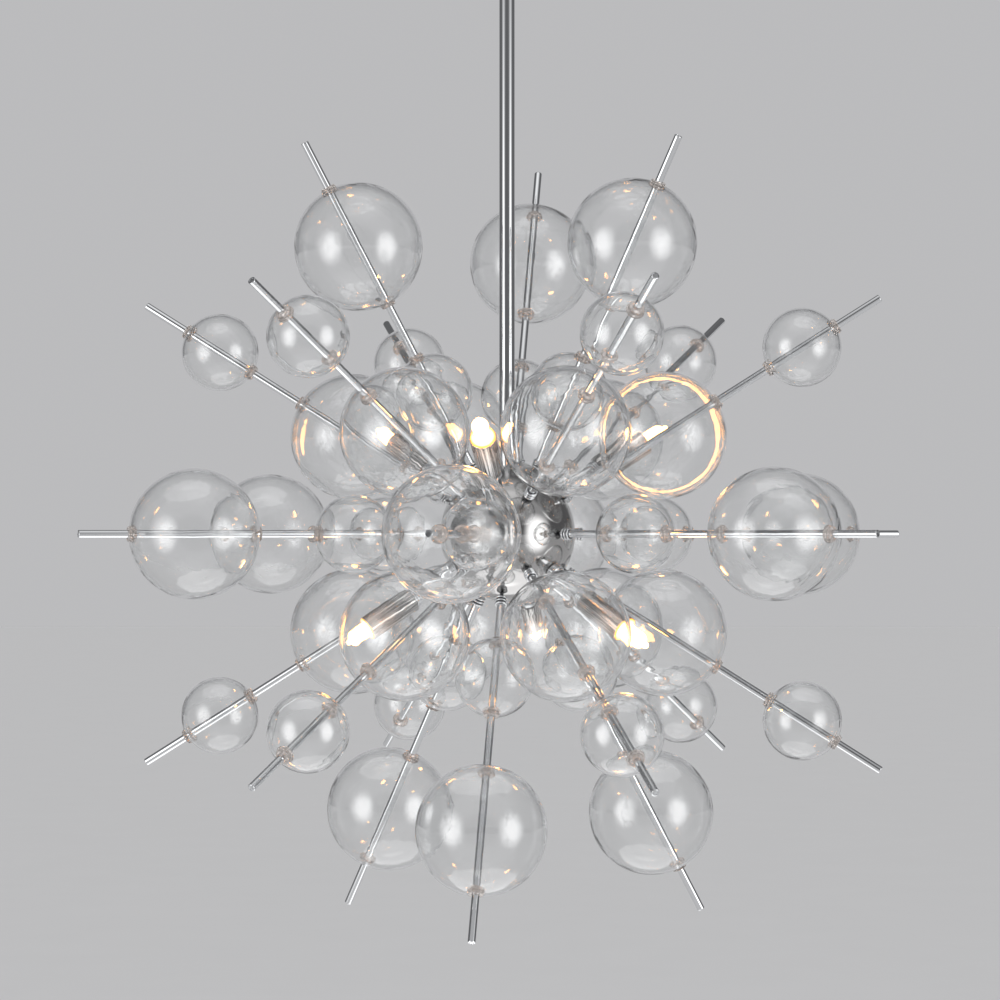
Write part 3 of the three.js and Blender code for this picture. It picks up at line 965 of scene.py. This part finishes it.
def area_light(name, place, target, sizes, strength, hot, octagon=False):
    """A soft panel that faces a target. Its brightness is full up to the share hot of its half size and falls
    to nothing at its edge, in ellipses or in octagons. It shows only in reflections, so that clear glass in
    front of it stays clear."""
    light = bpy.data.lights.new(name, "AREA")
    light.shape = "RECTANGLE"
    light.size, light.size_y = sizes
    light.energy = 1.0
    light.normalize = False
    light.use_nodes = True
    tree = light.node_tree
    tree.nodes.clear()
    corner_to_corner = node(tree, "NewGeometry").outputs["Parametric"]
    spot = vectors(tree, "MULTIPLY_ADD", corner_to_corner, (2.0, 2.0, 0.0), (-1.0, -1.0, 0.0))["Vector"]
    if octagon:
        diagonal = (math.sqrt(0.5), math.sqrt(0.5), 0.0)
        folded = vectors(tree, "ABSOLUTE", spot)["Vector"]
        across = vectors(tree, "DOT_PRODUCT", folded, diagonal)["Value"]
        square = maths(tree, "MAXIMUM", axis_of(tree, folded, "X"), axis_of(tree, folded, "Y"))
        reach = maths(tree, "MAXIMUM", square, across)
    else:
        reach = vectors(tree, "LENGTH", spot)["Value"]
    fall = spread(tree, reach, hot, 1.0, strength, 0.0, smooth=True)
    power = maths(tree, "MULTIPLY", fall, reflected(tree, node(tree, "LightPath").outputs))
    node(tree, "OutputLight", node(tree, "Emission", Strength=power).outputs[0])
    made = aimed(name, light, place, target)
    made.visible_camera = made.visible_diffuse = False


class CHANDELIER_OT_stage(bpy.types.Operator):
    """Makes the floor, the lights, the background and the camera"""

    bl_idname = "chandelier.stage"
    bl_label = "Stage"

    def execute(self, context):
        scene, stage = context.scene, context.scene.chandelier_stage
        hub = Vector(hub_centre(scene.chandelier_arms))
        scene.camera = self.make_camera(stage, hub)
        scene.world = self.make_world(stage)
        self.make_floor(stage)
        side_azimuth, side_reach, side_sizes = math.radians(53), 2.7, (2.9, 3.5)
        for name, azimuth in (("left_light", -side_azimuth), ("right_light", side_azimuth)):
            place = hub + Vector(direction(azimuth, 0.0)) * side_reach
            area_light(name, place, hub, side_sizes, stage.side_light, hot=0.2)
        above, below = hub + Vector((0.0, -0.28, 1.45)), hub + Vector((0.0, 0.1, -1.6))
        core = below + Vector((0.0, 0.0, 0.02))
        area_light("top_light", above, hub, (2.2, 2.2), stage.top_light, hot=0.1)
        area_light("low_light", below, hub, (1.85, 1.85), stage.low_light, hot=0.95, octagon=True)
        area_light("low_core", core, hub, (1.1, 0.4), stage.low_core, hot=0.0)
        self.make_key(hub)
        scene.view_settings.view_transform = "Standard"
        scene.cycles.max_bounces = 48
        scene.cycles.transmission_bounces = 48
        scene.cycles.transparent_max_bounces = 64
        scene.cycles.glossy_bounces = 12
        return {"FINISHED"}

    def make_key(self, hub):
        """A large soft light from above, which lights matt things and gives the floor its shadow."""
        light = bpy.data.lights.new("key_light", "AREA")
        light.shape, light.size, light.energy = "SQUARE", 3.0, 60.0
        key = aimed("key_light", light, hub + Vector((0.6, -1.2, 3.2)), hub)
        key.visible_camera = key.visible_glossy = key.visible_transmission = False

    def make_camera(self, stage, hub):
        """The photograph's view: level with the ball, whose centre lies 7 pixels right of the middle and 34
        below it, of 1000."""
        right, down, across = 7, 34, 1000
        data = bpy.data.cameras.new("camera")
        data.sensor_width, data.lens = 36.0, 120.35
        data.clip_start, data.clip_end = 0.05, 300.0
        pixel = stage.camera_distance * data.sensor_width / data.lens / across
        place = hub + Vector((0.0, -stage.camera_distance, 0.0))
        return aimed("camera", data, place, hub + Vector((-right * pixel, 0.0, down * pixel)))

    def make_world(self, stage):
        """A pale background for camera, metal and glass, and plain light for the rest. Reflections also show
        dark cards: one in front, and a ring of them that starts just before the object and ends behind it."""
        world = bpy.data.worlds.new("studio")
        world.use_nodes = True
        tree = world.node_tree
        tree.nodes.clear()
        rays = node(tree, "LightPath").outputs
        seen = maths(tree, "MAXIMUM", rays["Is Camera Ray"], rays["Is Transmission Ray"])
        seen = maths(tree, "MAXIMUM", seen, rays["Is Glossy Ray"])
        backwards = axis_of(tree, coordinate(tree, "Generated"), "Y")
        cards = node(tree, "ValToRGB", spread(tree, backwards, -1.0, 1.0))
        ramp = cards.color_ramp
        ramp.interpolation = "EASE"
        for spot, _ in CARDS[2:]:
            ramp.elements.new(spot)
        for element, (spot, dark) in zip(ramp.elements, CARDS):
            element.position = spot
            element.color = (dark, dark, dark, 1.0)
        share = maths(tree, "MULTIPLY", cards.outputs["Color"], reflected(tree, rays))
        plain = node(tree, "Background", Color=(1.0, 1.0, 1.0), Strength=stage.daylight)
        hue = mixed(tree, share, stage.background, stage.shade)
        backdrop = node(tree, "Background", Color=hue, Strength=1.0)
        node(tree, "OutputWorld", blended(tree, seen, plain, backdrop).outputs[0])
        return world

    def make_floor(self, stage):
        """A pale floor, which isn't seen from below."""
        material, tree = new_material("Pale floor")
        grain = noise(tree, coordinate(tree, "Object"), 3.0, 3.0)
        shade = mixed(tree, grain, (0.63, 0.63, 0.64), (0.65, 0.65, 0.66))
        matt = principled(tree, shade, 0.9)
        back = node(tree, "NewGeometry").outputs["Backfacing"]
        done(material, blended(tree, back, matt, node(tree, "BsdfTransparent")))
        reach, depth = stage.floor_reach, -stage.floor_depth
        mesh = bpy.data.meshes.new("floor")
        corners = [(x * reach, y * reach, depth) for x, y in ((-1, -1), (1, -1), (1, 1), (-1, 1))]
        mesh.from_pydata(corners, [], [(0, 1, 2, 3)])
        mesh.materials.append(material)
        floor = new_object("floor", mesh)


class CHANDELIER_PT_panel(bpy.types.Panel):
    """Lists the operators and the sizes"""

    bl_label = "Bubble Chandelier"
    bl_idname = "CHANDELIER_PT_panel"
    bl_space_type = "VIEW_3D"
    bl_region_type = "UI"
    bl_category = "Chandelier"

    def draw(self, context):
        for operator in OPERATORS:
            self.layout.operator(operator.bl_idname)
        for name, group in SETTINGS.items():
            box = self.layout.box()
            box.label(text=group.__doc__)
            for title in group.__annotations__:
                box.prop(getattr(context.scene, name), title)


OPERATORS = (
    CHANDELIER_OT_hub,
    CHANDELIER_OT_rods,
    CHANDELIER_OT_ferrules,
    CHANDELIER_OT_globes,
    CHANDELIER_OT_grommets,
    CHANDELIER_OT_lamps,
    CHANDELIER_OT_stem,
    CHANDELIER_OT_swivel,
    CHANDELIER_OT_canopy,
    CHANDELIER_OT_bracket,
    CHANDELIER_OT_stage,
)


def register():
    """Registers the settings, the operators and the panel."""
    for name, group in SETTINGS.items():
        bpy.utils.register_class(group)
        setattr(bpy.types.Scene, name, PointerProperty(type=group))
    for operator in OPERATORS:
        bpy.utils.register_class(operator)
    bpy.utils.register_class(CHANDELIER_PT_panel)


def unregister():
    """Takes away what register added."""
    bpy.utils.unregister_class(CHANDELIER_PT_panel)
    for operator in reversed(OPERATORS):
        bpy.utils.unregister_class(operator)
    for name, group in SETTINGS.items():
        delattr(bpy.types.Scene, name)
        bpy.utils.unregister_class(group)


def main():
    """Makes every piece and the stage."""
    register()
    for operator in OPERATORS:
        family, action = operator.bl_idname.split(".")
        getattr(getattr(bpy.ops, family), action)()


if __name__ == "__main__":
    main()
